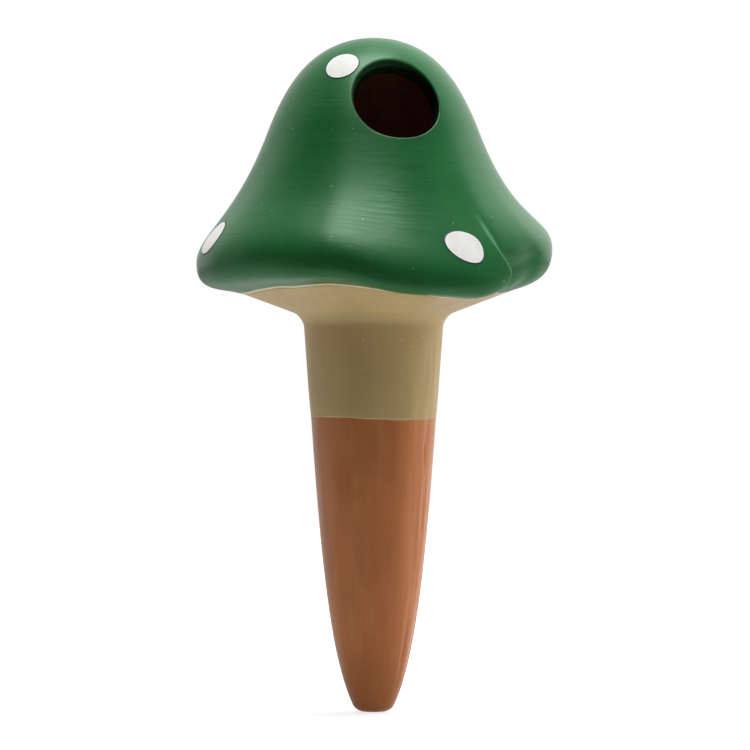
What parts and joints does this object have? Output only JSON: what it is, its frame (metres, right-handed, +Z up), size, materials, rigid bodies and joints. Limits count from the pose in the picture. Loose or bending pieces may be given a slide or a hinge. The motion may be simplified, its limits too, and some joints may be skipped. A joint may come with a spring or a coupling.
{
  "type": "plant watering spike",
  "caption": "Hollow terracotta mushroom with a lobed, painted cap and a filler hole; its bare porous spike seeps water into the soil of a plant pot.",
  "frame": {"origin": "on the stem's axis at the soil line, where the neck's beige paint ends", "axes": "+Z up along the stem, -Y towards the side with the filler hole"},
  "size_m": [0.0871, 0.0882, 0.165],
  "materials": {
    "terracotta": "bare fired clay, matt",
    "green_paint": "satin",
    "beige_paint": "satin",
    "white_paint": "satin"
  },
  "bodies": {
    "root": {"cap_casting": "terracotta", "stem_casting": "terracotta", "cap_coat": "green_paint", "neck_coat": "beige_paint", "dot_crown_front": "white_paint", "dot_crown_right": "white_paint", "dot_crown_back": "white_paint", "dot_brim_left": "white_paint", "dot_brim_front": "white_paint", "dot_brim_right": "white_paint", "dot_brim_back": "white_paint"}
  },
  "joints": []
}
